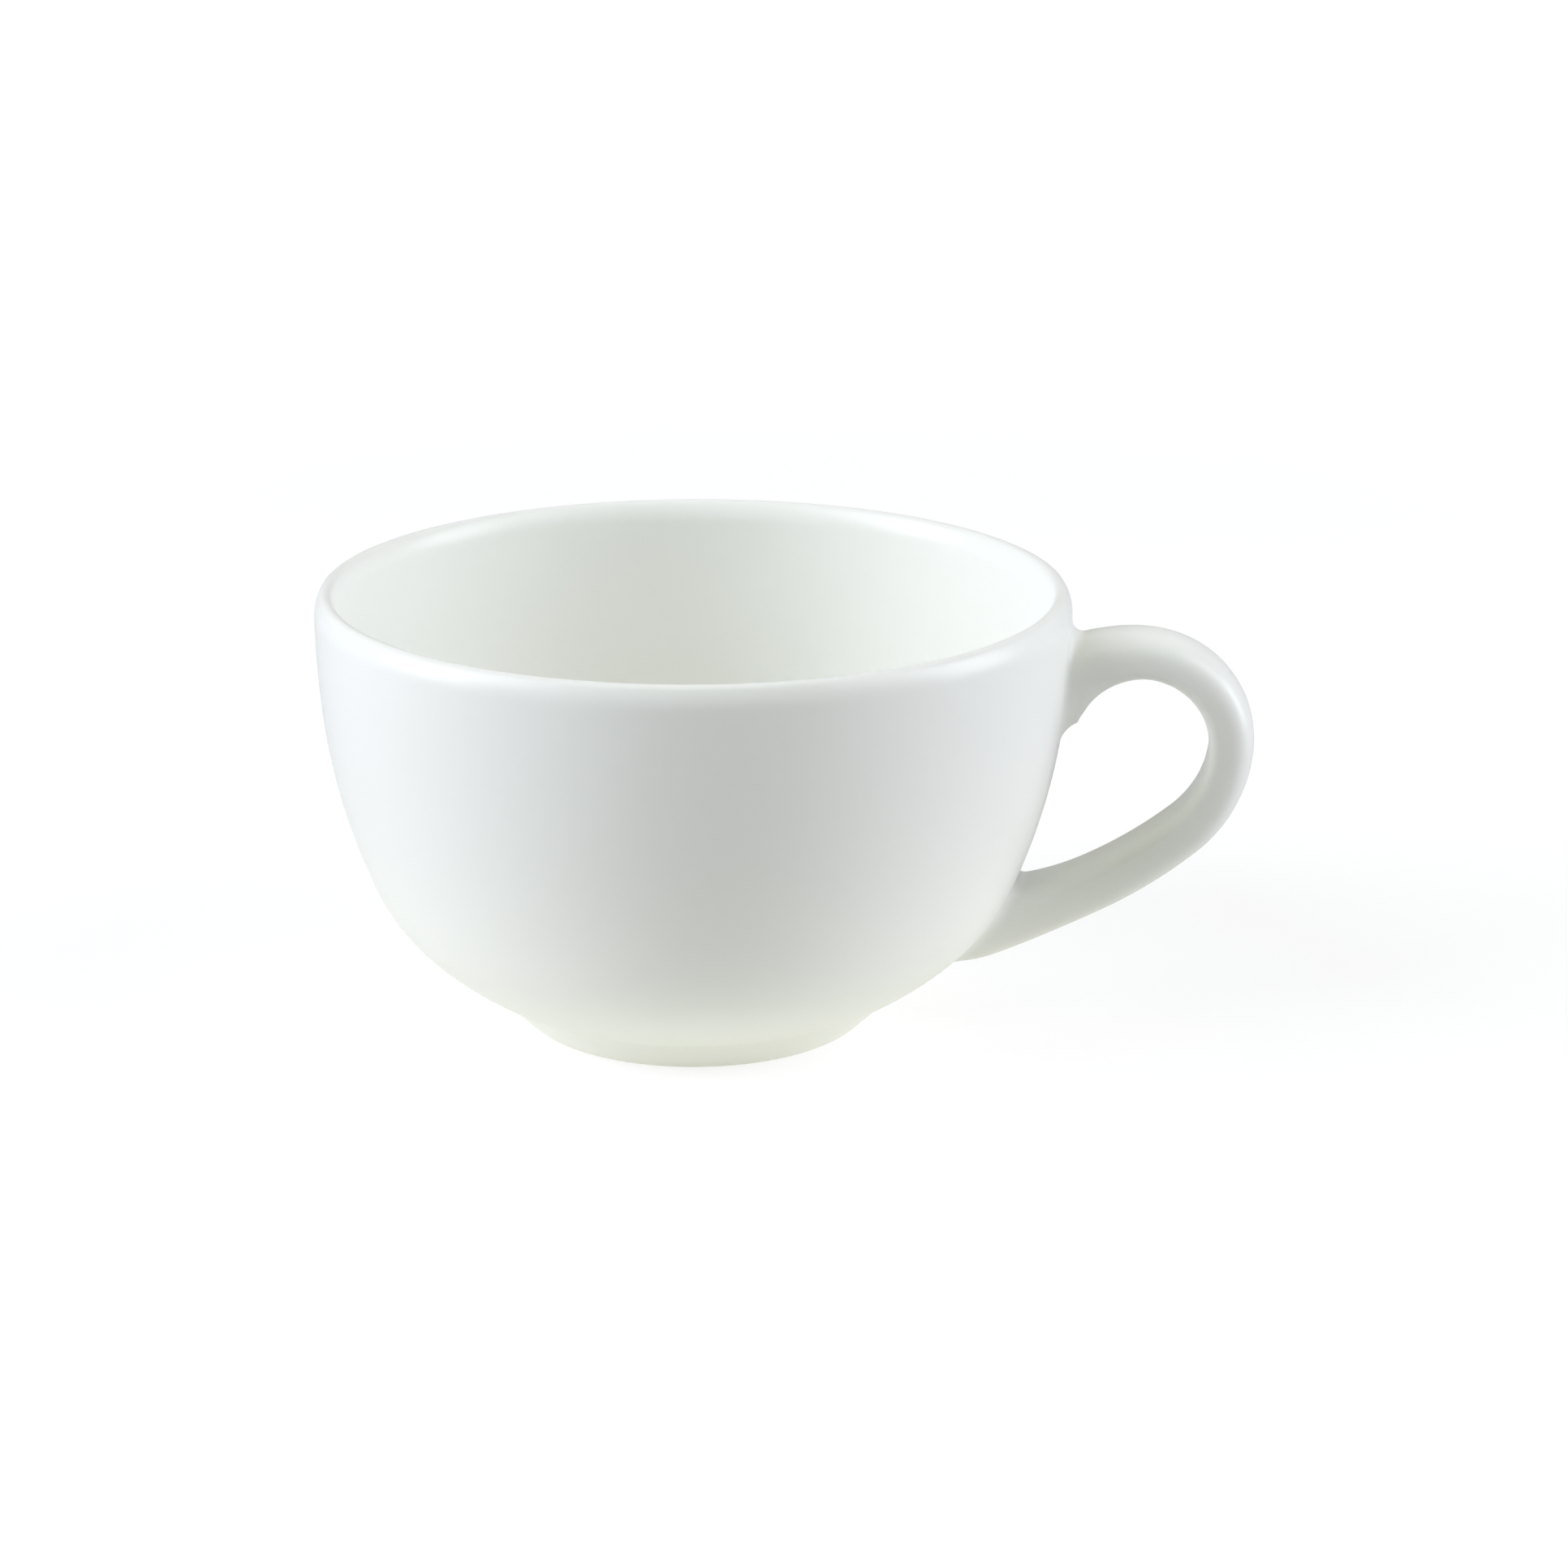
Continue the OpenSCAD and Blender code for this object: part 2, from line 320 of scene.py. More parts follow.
@dataclass
class Bowl:
    """Roller-formed bowl with its foot, and the glaze inside, outside and in the recess under the foot."""

    rim_r: float
    cup_h: float
    lip_t: float = 3.1
    lip_crest_r: float = 1.0
    lip_shoulder_r: float = 5.0
    wall_t: float = 3.4
    turn_t: float = 4.4
    corner_r: float = 17.0
    floor_h: float = 7.6
    ring_r: float = 21.9
    ring_bore_r: float = 19.6
    ring_edge_r: float = 0.15
    bare_h: float = 0.4
    foot_h: float = 5.3
    foot_round: float = 2.4
    foot_flare: float = math.radians(46.0)
    foot_fillet: float = 1.2
    recess_h: float = 2.8
    recess_dome_r: float = 200.0
    glaze_t: float = 0.3
    shares: tuple[tuple[float, float], ...] = ((0.97, 0.707), (0.695, 0.28), (0.413, 0.119), (0.0, 0.0))

    def __post_init__(self) -> None:
        """Work out the arcs of the outside and of the hollow."""
        down = Vector((0.0, -1.0))
        lip_r = self.lip_t / 2.0
        self.crest_centre = Vector((self.rim_r - lip_r, self.cup_h - self.lip_crest_r))
        out = (self.lip_shoulder_r - lip_r) / (self.lip_shoulder_r - self.lip_crest_r)
        self.shoulder_normal = Vector((out, math.sqrt(1.0 - out ** 2)))
        self.foot_normal = Vector((math.cos(self.foot_flare), -math.sin(self.foot_flare)))
        self.foot_centre = Vector((self.ring_r, self.foot_round))
        tangent = self.foot_centre + self.foot_normal * self.foot_round
        corner = Vector((tangent.x + (self.foot_h - tangent.y) * math.tan(self.foot_flare), self.foot_h))
        reach = Vector((self.rim_r, self.cup_h)) - corner
        points = [corner + Vector((share[0] * reach.x, share[1] * reach.y)) for share in self.shares]
        self.outside_arcs = tangent_arcs(self.lip(Side.OUTSIDE, 0.0)[-1].end, down, points)
        self.fillet_centre = self.fillet_beside(corner, self.outside_arcs[-1])

        walls = [self.outside_arcs[1].stroke(-self.wall_t).start,
                 self.outside_arcs[2].stroke(-self.turn_t).start]
        hollow = tangent_arcs(self.lip(Side.INSIDE, 0.0)[-1].end, down, walls)
        turn_normal = hollow[-1].end_normal
        turn_centre = walls[-1] + turn_normal * self.corner_r
        rise = turn_centre.y - self.floor_h
        dish_r = (turn_centre.x ** 2 + rise ** 2 - self.corner_r ** 2) / (2.0 * (rise - self.corner_r))
        dish_centre = Vector((0.0, self.floor_h + dish_r))
        dish_normal = (dish_centre - turn_centre).normalized()
        hollow.append(Arc(turn_centre, self.corner_r, turn_normal, dish_normal))
        hollow.append(Arc(dish_centre, dish_r, dish_normal, -down))
        self.hollow_arcs = hollow

    @classmethod
    def from_frame(cls) -> "Bowl":
        """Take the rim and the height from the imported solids."""
        low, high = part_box("outer_glaze")
        return cls(rim_r=min(-low[0], -low[1], high[0], high[1]) / MM, cup_h=high[2] / MM)

    def fillet_beside(self, corner: Vector, arc: Arc) -> Vector:
        """Find the centre of the fillet in the corner between the bowl and the side of the foot.

        Args:
            corner: Corner of the two surfaces.
            arc: Last arc of the bowl, which ends there.

        Returns:
            The centre, outside the clay.
        """
        along = Vector((-self.foot_normal.y, self.foot_normal.x))
        base = corner + self.foot_normal * self.foot_fillet - arc.centre
        half = base.dot(along)
        reach = half ** 2 - base.length_squared + (arc.radius + self.foot_fillet) ** 2
        return arc.centre + base - along * (half + math.sqrt(reach))

    def lip(self, side: Side, skin: float) -> list[Stroke]:
        """Draw one half of the lip, a tight crest and a wide shoulder, from the crest down to the wall.

        Args:
            side: Side of the wall.
            skin: Depth under the surface of the glaze.

        Returns:
            The strokes, from the top down.
        """
        way = Vector((side.value * self.shoulder_normal.x, self.shoulder_normal.y))
        crest_r, shoulder_r = self.lip_crest_r - skin, self.lip_shoulder_r - skin
        shoulder_centre = self.crest_centre - way * (self.lip_shoulder_r - self.lip_crest_r)
        shoulder = self.crest_centre + way * crest_r
        wall_top = shoulder_centre + Vector((side.value * shoulder_r, 0.0))
        return [Stroke(self.crest_centre + Vector((0.0, crest_r)), shoulder, self.crest_centre),
                Stroke(shoulder, wall_top, shoulder_centre)]

    def outside(self, skin: float) -> list[Stroke]:
        """Draw the outside from the crest of the lip to the bare line of the foot.

        Args:
            skin: Depth under the surface of the glaze.

        Returns:
            The strokes, from the top down.
        """
        strokes = self.lip(Side.OUTSIDE, skin) + [arc.stroke(-skin) for arc in self.outside_arcs]
        last = self.outside_arcs[-1]
        meeting = last.centre + (self.fillet_centre - last.centre).normalized() * (last.radius - skin)
        strokes[-1] = Stroke(strokes[-1].start, meeting, last.centre)
        side_top = self.fillet_centre - self.foot_normal * (self.foot_fillet + skin)
        strokes.append(Stroke(meeting, side_top, self.fillet_centre))
        round_r = self.foot_round - skin
        side_end = self.foot_centre + self.foot_normal * round_r
        drop = self.foot_round - self.bare_h
        bare = self.foot_centre + Vector((math.sqrt(round_r ** 2 - drop ** 2), -drop))
        return strokes + [Stroke(side_top, side_end), Stroke(side_end, bare, self.foot_centre)]

    def inside(self, skin: float) -> list[Stroke]:
        """Draw the inside from the crest of the lip to the middle of the floor.

        Args:
            skin: Depth under the surface of the glaze.

        Returns:
            The strokes, from the top down.
        """
        return self.lip(Side.INSIDE, skin) + [arc.stroke(skin) for arc in self.hollow_arcs]

    def recess(self, skin: float) -> list[Stroke]:
        """Draw the recess under the foot from its middle to the bare line.

        Args:
            skin: Depth under the surface of the glaze.

        Returns:
            The strokes, from the axis outwards.
        """
        bore_r = self.ring_bore_r + skin
        dome_r = self.recess_dome_r + skin
        centre = Vector((0.0, self.recess_h - self.recess_dome_r))
        roof_edge = centre + Vector((bore_r, math.sqrt(dome_r ** 2 - bore_r ** 2)))
        return [Stroke(centre + Vector((0.0, dome_r)), roof_edge, centre),
                Stroke(roof_edge, Vector((bore_r, self.bare_h)))]

    def bare_ring(self) -> list[Stroke]:
        """Draw the bare standing ring, with its edges rubbed round, from the recess outwards."""
        edge = self.ring_edge_r
        inner = self.ring_bore_r + self.glaze_t
        inner_centre = Vector((inner + edge, edge))
        outer_centre = Vector((self.ring_r - edge, edge))
        return [Stroke(Vector((inner, edge)), Vector((inner + edge, 0.0)), inner_centre),
                Stroke(Vector((self.ring_r - edge, 0.0)), Vector((self.ring_r, edge)), outer_centre),
                Stroke(Vector((self.ring_r, edge)), Vector((self.ring_r, self.bare_h)))]

    def arc_beside(self, place: Vector) -> Arc:
        """Return the arc of the outside that lies beside a place in the half section."""
        return next((arc for arc in self.outside_arcs if not arc.is_past(place)), self.outside_arcs[-1])

    def wall_distance(self, point: Vector) -> float:
        """Return how far a point lies outside the bowl, in millimetres."""
        place = Vector((math.hypot(point.x, point.y), point.z))
        arc = self.arc_beside(place)
        return (place - arc.centre).length - arc.radius

    def wall_normal(self, point: Vector) -> Vector:
        """Return the outward unit normal of the bowl nearest to a point."""
        reach = math.hypot(point.x, point.y)
        place = Vector((reach, point.z))
        out = (place - self.arc_beside(place).centre).normalized()
        return Vector((out.x * point.x / reach, out.x * point.y / reach, out.y))

    def turn(self, strokes: list[Stroke]) -> bmesh.types.BMesh:
        """Turn a half section on the lathe."""
        lathe = Lathe()
        lathe.draw(strokes)
        return lathe.turn()

    def build(self, kiln: Kiln) -> None:
        """Make the body and its three coats of glaze."""
        skin = self.glaze_t
        body = self.recess(skin) + self.bare_ring() + turned_back(self.outside(skin)) + self.inside(skin)
        kiln.fire("porcelain_body", self.turn(body), Slot.PORCELAIN, "cup_body")
        outside = self.outside(0.0)
        coat = outside + turned_back(self.outside(skin)) + [Stroke(outside[0].start, outside[0].start)]
        kiln.fire("glazed_outside", self.turn(coat), Slot.GLAZE, "outer_glaze")
        coat = turned_back(self.inside(skin)) + self.inside(0.0)
        kiln.fire("glazed_inside", self.turn(coat), Slot.GLAZE, "inner_glaze")
        coat = self.recess(0.0) + turned_back(self.recess(skin))
        kiln.fire("glazed_foot_recess", self.turn(coat), Slot.GLAZE, "foot_recess_glaze")


@dataclass(frozen=True)
class Bend:
    """Clockwise bend of the handle's centre line."""

    radius: float
    angle: float

    @property
    def length(self) -> float:
        """Length along the bend."""
        return self.radius * self.angle


@dataclass(frozen=True)
class Swell:
    """Growth of the handle's section towards one end, which runs out by a power of the distance."""

    end: End
    size: float
    run: float
    power: float

    def at(self, gaps: dict[End, float]) -> float:
        """Return the growth at a distance from each end."""
        return self.size * max(0.0, 1.0 - max(0.0, gaps[self.end]) / self.run) ** self.power


@dataclass(frozen=True)
class Root:
    """Blend of one end of the handle into the bowl, with a radius on each side of the section."""

    end: End
    outer_fillet: float
    side_fillet: float
    inner_fillet: float
    scoop_r: float = 0.0
    scoop_slope: float = 0.0
    scoop_sink: float = 0.0

    def spread(self, gap: float, outward: float) -> float:
        """Return how far the surface is moved out at a gap from the wall.

        Args:
            gap: Distance from the wall.
            outward: Cosine of the place round the section, 1 on the outer side of the loop.

        Returns:
            The move along the wall, away from the handle's middle.
        """
        facing = self.outer_fillet if outward > 0.0 else self.inner_fillet
        fillet = self.side_fillet + (facing - self.side_fillet) * outward ** 2
        short = max(0.0, fillet - max(gap, 0.0))
        move = fillet - math.sqrt(fillet ** 2 - short ** 2)
        if self.scoop_r > 0.0 and outward < 0.0 and gap > 0.0:
            depth = math.sqrt(max(0.0, 2.0 * self.scoop_r * gap - gap ** 2)) - self.scoop_slope * gap
            move += max(0.0, depth + self.scoop_sink) * outward
        return move


@dataclass
class Handle:
    """Cast loop handle with the glaze round it, grown out of the bowl at both ends.

    The crown is how far the widest line of the section lies in from the middle of its thickness, and the
    outset is how far the whole section lies out from the centre line. Near both ends the lanes of the
    surface have points at fixed gaps from the wall, found by halving a stretch of the centre line.
    """

    bowl: Bowl
    start: tuple[float, float] = (46.9, 46.36)
    rise: float = math.radians(50.4)
    bends: tuple[Bend, ...] = (Bend(16.8, math.radians(44.0)), Bend(11.92, math.radians(102.0)),
                               Bend(16.95, math.radians(43.4)), Bend(61.6, math.radians(34.5)))
    thickness: float = 5.95
    width: float = 10.5
    squareness: float = 2.6
    inner_squareness: float = 3.6
    crown: float = 0.8
    outset: float = 0.1
    heel_h: float = 9.65
    heel_slope_share: float = 0.26
    heel_blend: float = 0.6
    thickness_swells: tuple[Swell, ...] = (
        Swell(End.UPPER, 5.62, 16.9, 2.0),
        Swell(End.LOWER, 6.56, 22.4, 2.0),
        Swell(End.LOWER, 1.43, 45.0, 1.0),
    )
    width_swells: tuple[Swell, ...] = (
        Swell(End.UPPER, 1.6, 15.4, 3.0),
        Swell(End.LOWER, 1.6, 28.0, 3.0),
    )
    roots: tuple[Root, ...] = (
        Root(End.UPPER, 2.1, 0.7, 0.3, scoop_r=2.6, scoop_slope=1.27, scoop_sink=0.65),
        Root(End.LOWER, 0.8, 1.4, 1.8),
    )
    gaps: tuple[float, ...] = (-0.25, 0.0, 0.012, 0.05, 0.11, 0.19, 0.29, 0.4, 0.52, 0.66, 0.82, 1.0, 1.2,
                               1.42, 1.66, 1.92, 2.2, 2.6, 3.0)
    clay_gaps: tuple[float, ...] = (0.3, 1.0, 3.0)
    search: float = 24.0
    halvings: int = 40
    lanes: int = 64
    middle_rings: int = 90

    def __post_init__(self) -> None:
        """Work out the length of the centre line."""
        self.length = sum(bend.length for bend in self.bends)

    def centre(self, distance: float) -> tuple[Vector, float]:
        """Follow the centre line, straight on past both ends.

        Args:
            distance: Distance from the upper end.

        Returns:
            The place in the handle's own plane, and the heading there.
        """
        place, heading, left = Vector(self.start), self.rise, distance
        for bend in self.bends if distance > 0.0 else ():
            angle = min(left, bend.length) / bend.radius
            place += bend.radius * Vector((math.sin(heading) - math.sin(heading - angle),
                                           math.cos(heading - angle) - math.cos(heading)))
            heading -= angle
            left -= min(left, bend.length)
        return place + left * Vector((math.cos(heading), math.sin(heading))), heading

    def surface(self, distance: float, turn: float, skin: float) -> tuple[Vector, Vector]:
        """Find a point of the plain handle, before its ends are blended.

        Args:
            distance: Distance along the centre line.
            turn: Angle round the section, from the outer side of the loop.
            skin: Depth under the surface of the glaze.

        Returns:
            The point and the outward normal there.
        """
        place, heading = self.centre(distance)
        gaps = {End.UPPER: distance, End.LOWER: self.length - distance}
        half_t = (self.thickness + sum(swell.at(gaps) for swell in self.thickness_swells)) / 2.0 - skin
        half_w = (self.width + sum(swell.at(gaps) for swell in self.width_swells)) / 2.0 - skin
        outward, aside = math.cos(turn), math.sin(turn)
        reach_t = half_t + math.copysign(self.crown, outward)
        power = 2.0 / (self.squareness if outward > 0.0 else self.inner_squareness)
        across = Vector((-math.sin(heading), 0.0, math.cos(heading)))
        side = Vector((0.0, 1.0, 0.0))
        lift = math.copysign(abs(outward) ** power * reach_t, outward) - self.crown + self.outset
        point = Vector((place.x, 0.0, place.y)) + across * lift
        point += side * math.copysign(abs(aside) ** power * half_w, aside)
        below = self.heel_h - point.z
        point.z += (1.0 - self.heel_slope_share) * (below + math.hypot(below, self.heel_blend)) / 2.0
        lean = 2.0 - power
        normal = across * math.copysign(abs(outward) ** lean / reach_t, outward)
        normal += side * math.copysign(abs(aside) ** lean / half_w, aside)
        return point, normal.normalized()

    def reach(self, end: End, turn: float, skin: float, gap: float) -> float:
        """Find where one lane of the handle stands at a gap from the wall.

        Args:
            end: End of the handle.
            turn: Angle of the lane round the section.
            skin: Depth under the surface of the glaze.
            gap: Distance from the wall.

        Returns:
            The distance along the centre line.
        """
        inner, outer = -self.search, self.search
        if end is End.LOWER:
            inner, outer = self.length + self.search, self.length - self.search
        for _ in range(self.halvings):
            middle = (inner + outer) / 2.0
            if self.bowl.wall_distance(self.surface(middle, turn, skin)[0]) < gap:
                inner = middle
            else:
                outer = middle
        return outer

    def lane(self, turn: float, skin: float, gaps: tuple[float, ...]) -> list[Vector]:
        """Draw one lane of the surface from the upper wall to the lower one.

        Args:
            turn: Angle of the lane round the section.
            skin: Depth under the surface of the glaze.
            gaps: Distances from the wall at which it has points near both ends.

        Returns:
            The points of the lane.
        """
        ends = {root.end: [self.reach(root.end, turn, skin, gap) for gap in gaps] for root in self.roots}
        first, last = ends[End.UPPER][-1], ends[End.LOWER][-1]
        middle = [first + (last - first) * step / self.middle_rings for step in range(1, self.middle_rings)]
        plain = [self.surface(distance, turn, skin)[0] for distance in middle]
        blends = {}
        for root in self.roots:
            row = []
            for gap, distance in zip(gaps, ends[root.end]):
                point, normal = self.surface(distance, turn, skin)
                wall = self.bowl.wall_normal(point)
                along = (normal - wall * normal.dot(wall)).normalized()
                row.append(point + along * root.spread(gap, math.cos(turn)))
            blends[root.end] = row
        return blends[End.UPPER] + plain + blends[End.LOWER][::-1]

    def tube(self, mesh: bmesh.types.BMesh, skin: float, gaps: tuple[float, ...]) -> tuple[Ring, Ring]:
        """Extrude a ring of points along the lanes of the handle.

        Args:
            mesh: Mesh that the tube is added to.
            skin: Depth under the surface of the glaze.
            gaps: Distances from the wall of the rings near both ends.

        Returns:
            The edges of the first and of the last ring.
        """
        lanes = [self.lane(math.tau * index / self.lanes, skin, gaps) for index in range(self.lanes)]
        number = mesh.verts.layers.int.get("lane") or mesh.verts.layers.int.new("lane")
        ring = bmesh.ops.create_circle(mesh, segments=self.lanes, radius=self.thickness)["verts"]
        for index, vert in enumerate(ring):
            vert[number] = index
        edges = list({edge for vert in ring for edge in vert.link_edges})
        first = edges
        for step in range(len(lanes[0])):
            if step > 0:
                grown = bmesh.ops.extrude_edge_only(mesh, edges=edges)["geom"]
                ring = [part for part in grown if isinstance(part, bmesh.types.BMVert)]
                edges = [part for part in grown
                         if isinstance(part, bmesh.types.BMEdge) and set(ring).issuperset(part.verts)]
            for vert in ring:
                vert.co = lanes[vert[number]][step]
        return first, edges

    def build(self, kiln: Kiln) -> None:
        """Make the handle and the coat of glaze round it."""
        clay = bmesh.new()
        for ring in self.tube(clay, self.bowl.glaze_t, self.clay_gaps):
            bmesh.ops.holes_fill(clay, edges=ring)
        bmesh.ops.recalc_face_normals(clay, faces=clay.faces)
        kiln.fire("porcelain_handle", clay, Slot.PORCELAIN, "handle")

        coat = bmesh.new()
        outer = self.tube(coat, 0.0, self.gaps)
        inner = self.tube(coat, self.bowl.glaze_t, self.gaps)
        for pair in zip(outer, inner):
            bmesh.ops.bridge_loops(coat, edges=pair[0] + pair[1])
        bmesh.ops.recalc_face_normals(coat, faces=coat.faces)
        kiln.fire("glazed_handle", coat, Slot.GLAZE, "handle_glaze")


@dataclass(frozen=True)
class SoftBox:
    """Large soft lamp that faces the cup."""

    name: str
    azimuth: float
    elevation: float
    size: tuple[float, float]
    power: float
    tint: Shade
    distance: float = 1.2

    def place(self, target: Vector) -> None:
        """Hang the lamp so that it faces a target."""
        lamp = bpy.data.lights.new(self.name, "AREA")
        lamp.shape = "RECTANGLE"
        lamp.size, lamp.size_y = self.size
        lamp.energy = self.power
        lamp.color = self.tint
        azimuth, elevation = math.radians(self.azimuth), math.radians(self.elevation)
        away = Vector((math.cos(azimuth) * math.cos(elevation), math.sin(azimuth) * math.cos(elevation),
                       math.sin(elevation)))
        box = bpy.data.objects.new(self.name, lamp)
        box.location = target + away * self.distance
        box.rotation_euler = away.to_track_quat("Z", "Y").to_euler()
        box.visible_camera = False
        bpy.context.scene.collection.objects.link(box)
        log.info("%s: %.2f W", self.name, self.power)


LEFT_TINT: Shade = (0.967, 1.0, 1.12)
RIGHT_TINT: Shade = (0.98, 1.0, 1.1)
BACK_TINT: Shade = (1.05, 1.0, 1.0)
FRONT_TINT: Shade = (0.95, 1.0, 0.5)


@dataclass
class Studio:
    """Pale floor that glows softly under the cup and lights it from below, with a white backdrop and soft
    lamps.
    """

    floor_size: float = 6.0
    floor_shade: Shade = (0.5, 0.5, 0.5)
    # light given off by the floor itself under the cup, unseen by the camera, which brightens the foot and
    # the lower wall
    glow: float = 0.45
    glow_tint: Shade = (1.0, 1.0, 0.86)
    glow_reach: tuple[float, float] = (0.03, 0.17)
    shadow_share: float = 0.7
    shown_white: float = 0.72
    white_reach: tuple[float, float] = (0.3, 0.8)
    mirrored_white: float = 0.5
    target: tuple[float, float, float] = (0.0, 0.0, 0.03)
    lamps: tuple[SoftBox, ...] = (
        SoftBox("left_low_box", 195.0, 17.0, (0.6, 0.6), 6.9, LEFT_TINT),
        SoftBox("left_high_box", 210.0, 38.0, (0.8, 0.8), 7.1, LEFT_TINT),
        SoftBox("right_low_box", 7.0, 14.0, (0.6, 0.6), 6.5, RIGHT_TINT),
        SoftBox("right_high_box", 347.0, 38.0, (0.8, 0.8), 5.4, RIGHT_TINT),
        SoftBox("back_box", 105.0, 56.0, (1.8, 1.8), 3.8, BACK_TINT),
        SoftBox("front_box", 270.0, 64.0, (0.8, 0.8), 1.6, FRONT_TINT),
    )

    def joined(self, tree: bpy.types.NodeTree, kind: str, first: bpy.types.NodeSocket,
               second: bpy.types.NodeSocket | float) -> bpy.types.NodeSocket:
        """Join two values in a math node.

        Args:
            tree: Node tree that the node is added to.
            kind: Operation of the math node.
            first: First value.
            second: Second value, as a socket or a plain number.

        Returns:
            The socket of the result.
        """
        node = tree.nodes.new("ShaderNodeMath")
        node.operation = kind
        tree.links.new(first, node.inputs[0])
        if isinstance(second, float):
            node.inputs[1].default_value = second
        else:
            tree.links.new(second, node.inputs[1])
        return node.outputs["Value"]

    def seen(self, tree: bpy.types.NodeTree, path: bpy.types.Node) -> bpy.types.NodeSocket:
        """Tell what the camera sees from what lights or is mirrored.

        Args:
            tree: Node tree that the test is added to.
            path: Light path node of the tree.

        Returns:
            The socket that is 1 for rays from the camera and for rays that pass straight on.
        """
        rays = path.outputs
        return self.joined(tree, "MAXIMUM", rays["Is Camera Ray"], rays["Is Transmission Ray"])

    def lit_card(self, tree: bpy.types.NodeTree, shade: Shade, tint: Shade, distance: bpy.types.NodeSocket,
                 reach: tuple[float, float], strength: tuple[float, float]) -> bpy.types.NodeSocket:
        """Add a matt card with light of its own, which changes with the distance from the cup.

        Args:
            tree: Node tree of the floor.
            shade: Colour of the card.
            tint: Colour of its light.
            distance: Distance from the middle of the floor.
            reach: Where the light begins and ends to change.
            strength: Strength of the light at both.

        Returns:
            The shader of the card.
        """
        card = tree.nodes.new("ShaderNodeBsdfDiffuse")
        card.inputs["Color"].default_value = (*shade, 1.0)
        fade = tree.nodes.new("ShaderNodeMapRange")
        fade.interpolation_type = "SMOOTHSTEP"
        fade.inputs["From Min"].default_value, fade.inputs["From Max"].default_value = reach
        fade.inputs["To Min"].default_value, fade.inputs["To Max"].default_value = strength
        tree.links.new(distance, fade.inputs["Value"])
        light = tree.nodes.new("ShaderNodeEmission")
        light.inputs["Color"].default_value = (*tint, 1.0)
        tree.links.new(fade.outputs["Result"], light.inputs["Strength"])
        whole = tree.nodes.new("ShaderNodeAddShader")
        tree.links.new(card.outputs["BSDF"], whole.inputs[0])
        tree.links.new(light.outputs["Emission"], whole.inputs[1])
        return whole.outputs["Shader"]

    def floor_material(self) -> bpy.types.Material:
        """Build a floor that lights the cup as a lit pale card with a glow of its own under the cup, and
        shows as white with a soft shadow.
        """
        material = bpy.data.materials.new("pale_floor")
        material.use_nodes = True
        tree = material.node_tree
        tree.nodes.remove(tree.nodes["Principled BSDF"])
        place = tree.nodes.new("ShaderNodeTexCoord")
        distance = tree.nodes.new("ShaderNodeVectorMath")
        distance.operation = "LENGTH"
        tree.links.new(place.outputs["Object"], distance.inputs[0])
        away = distance.outputs["Value"]
        lit = self.lit_card(tree, self.floor_shade, self.glow_tint, away, self.glow_reach, (self.glow, 0.0))
        shown_shade = tuple(self.shadow_share * part for part in self.floor_shade)
        shown = self.lit_card(tree, shown_shade, WHITE, away, self.white_reach, (self.shown_white, 1.0))
        mix = tree.nodes.new("ShaderNodeMixShader")
        path = tree.nodes.new("ShaderNodeLightPath")
        tree.links.new(self.seen(tree, path), mix.inputs["Fac"])
        tree.links.new(lit, mix.inputs[1])
        tree.links.new(shown, mix.inputs[2])
        tree.links.new(mix.outputs["Shader"], tree.nodes["Material Output"].inputs["Surface"])
        return material

    def backdrop(self) -> bpy.types.World:
        """Build a surround that shows as white and is mirrored more softly, without lighting the cup."""
        world = bpy.data.worlds.new("backdrop")
        world.use_nodes = True
        tree = world.node_tree
        path = tree.nodes.new("ShaderNodeLightPath")
        mirrored = self.joined(tree, "MULTIPLY", path.outputs["Is Glossy Ray"], self.mirrored_white)
        strength = self.joined(tree, "MAXIMUM", self.seen(tree, path), mirrored)
        white = tree.nodes["Background"]
        white.inputs["Color"].default_value = (*WHITE, 1.0)
        tree.links.new(strength, white.inputs["Strength"])
        return world

    def build(self) -> None:
        """Lay the floor, set the backdrop and hang the lamps."""
        mesh = bmesh.new()
        bmesh.ops.create_grid(mesh, x_segments=1, y_segments=1, size=self.floor_size / 2.0)
        data = bpy.data.meshes.new("floor")
        mesh.to_mesh(data)
        mesh.free()
        data.materials.append(self.floor_material())
        floor = bpy.data.objects.new("floor", data)
        bpy.context.scene.collection.objects.link(floor)

        bpy.context.scene.world = self.backdrop()
        for lamp in self.lamps:
            lamp.place(Vector(self.target))


@dataclass(frozen=True)
class PhotoCamera:
    """Camera at the photograph's viewing angle."""

    location: tuple[float, float, float] = (0.06395, -0.45699, 0.1791)
    yaw: float = math.radians(-6.482)
    pitch: float = math.radians(17.692)
    roll: float = math.radians(0.136)
    lens: float = 82.615
    sensor: float = 36.0
    near: float = 0.01

    def build(self) -> None:
        """Set up the camera and make it the scene's own."""
        data = bpy.data.cameras.new("photo_camera")
        data.sensor_width = self.sensor
        data.lens = self.lens
        data.clip_start = self.near
        camera = bpy.data.objects.new("photo_camera", data)
        ahead = Vector((math.sin(self.yaw) * math.cos(self.pitch), math.cos(self.yaw) * math.cos(self.pitch),
                        -math.sin(self.pitch)))
        right = ahead.cross(UP).normalized()
        above = right.cross(ahead)
        axes = Matrix((right, above, -ahead)).transposed()
        camera.matrix_world = (Matrix.Translation(self.location) @ axes.to_4x4()
                               @ Matrix.Rotation(self.roll, 4, "Z"))
        bpy.context.scene.collection.objects.link(camera)
        bpy.context.scene.camera = camera


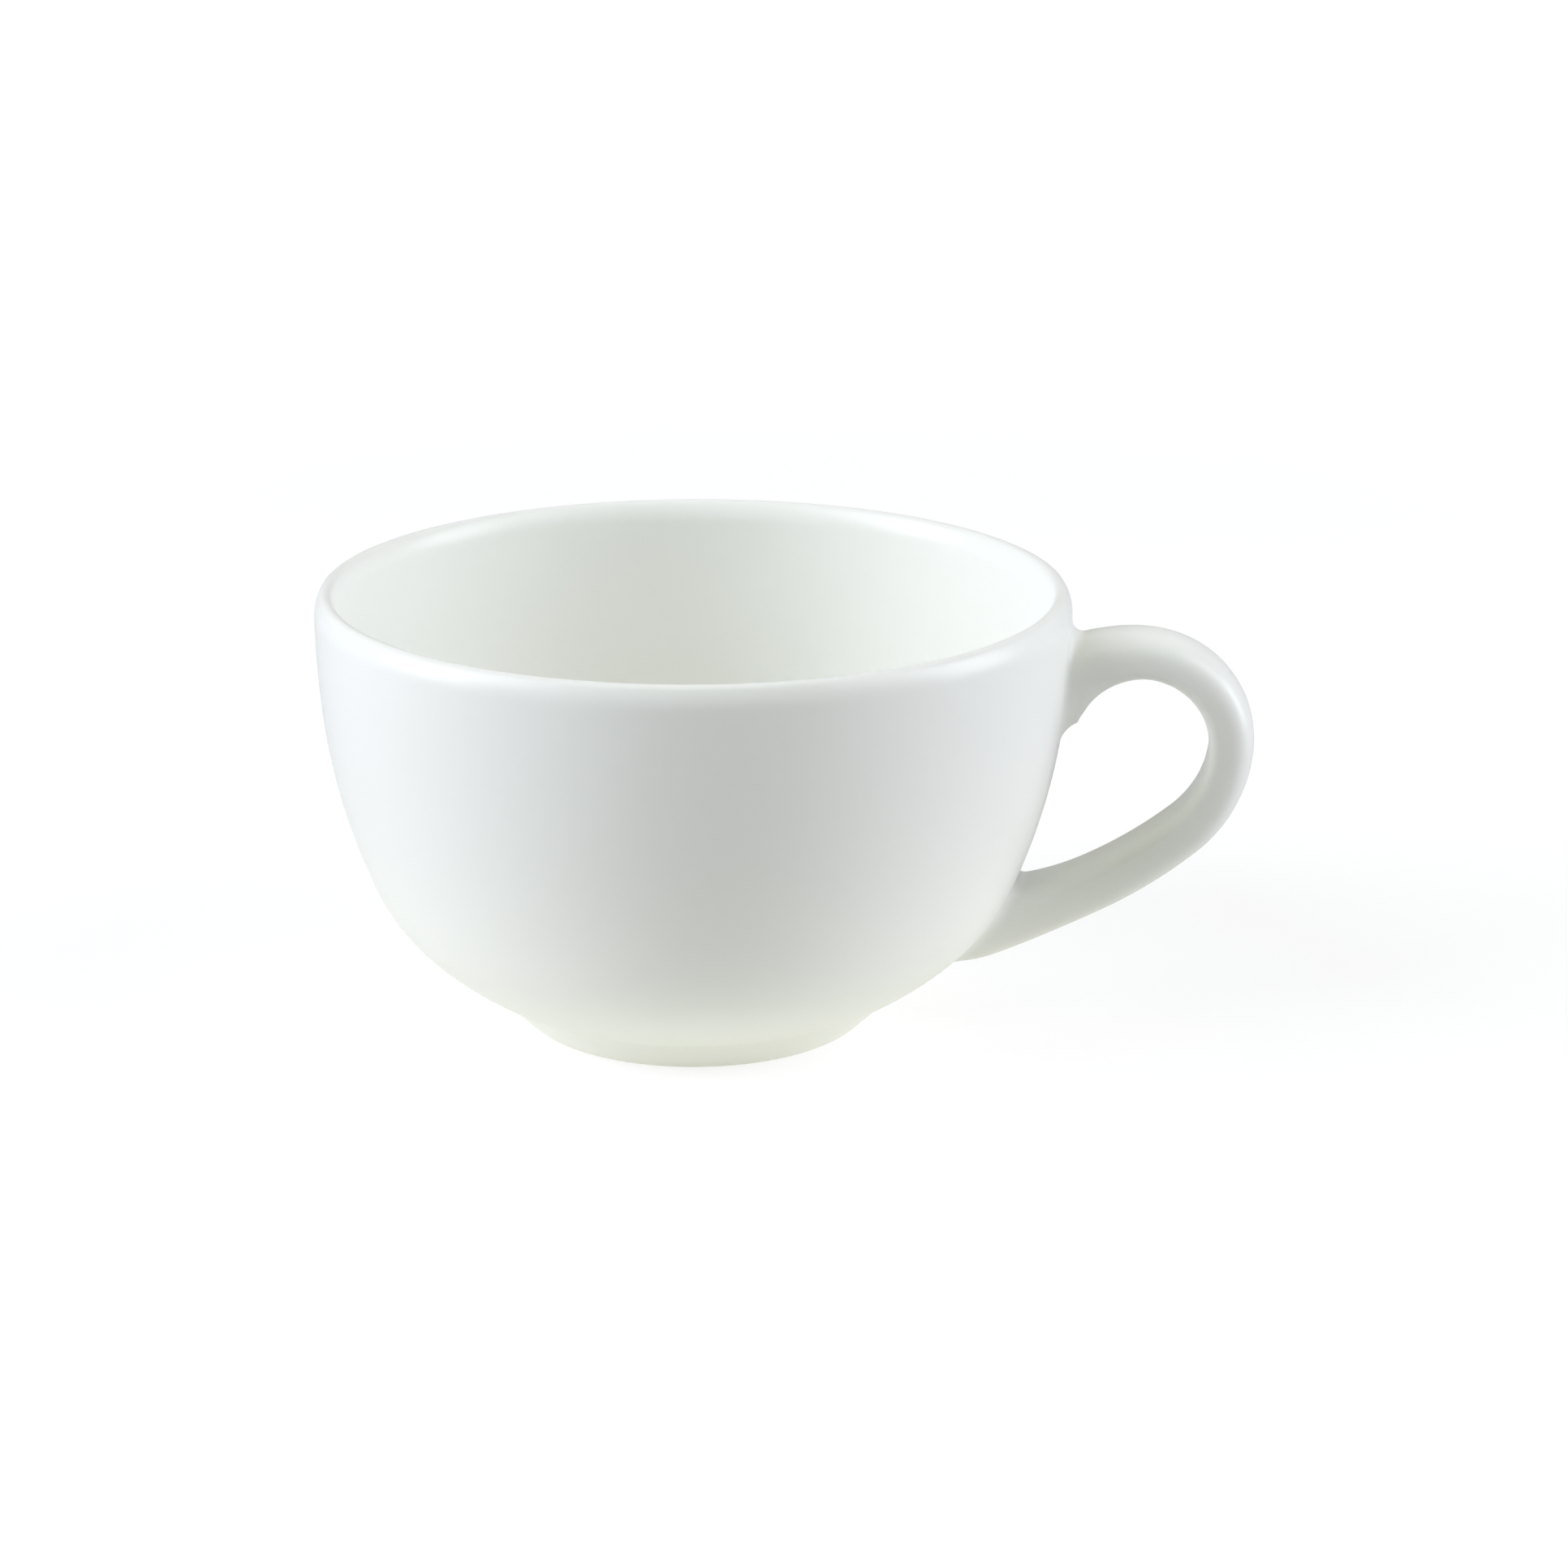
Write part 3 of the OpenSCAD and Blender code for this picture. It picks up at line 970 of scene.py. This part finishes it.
def main() -> None:
    """Build the cup, its studio and its camera."""
    logging.basicConfig(level=logging.INFO, format="%(message)s")
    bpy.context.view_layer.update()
    bpy.context.scene.view_settings.view_transform = "Standard"

    PhotoCamera().build()
    kiln = Kiln()
    bowl = Bowl.from_frame()
    bowl.build(kiln)
    Handle(bowl).build(kiln)
    for node in ("upper_slip_joint", "lower_slip_joint"):
        kiln.coat(node, Slot.SLIP)
    Studio().build()


if __name__ == "__main__":
    main()
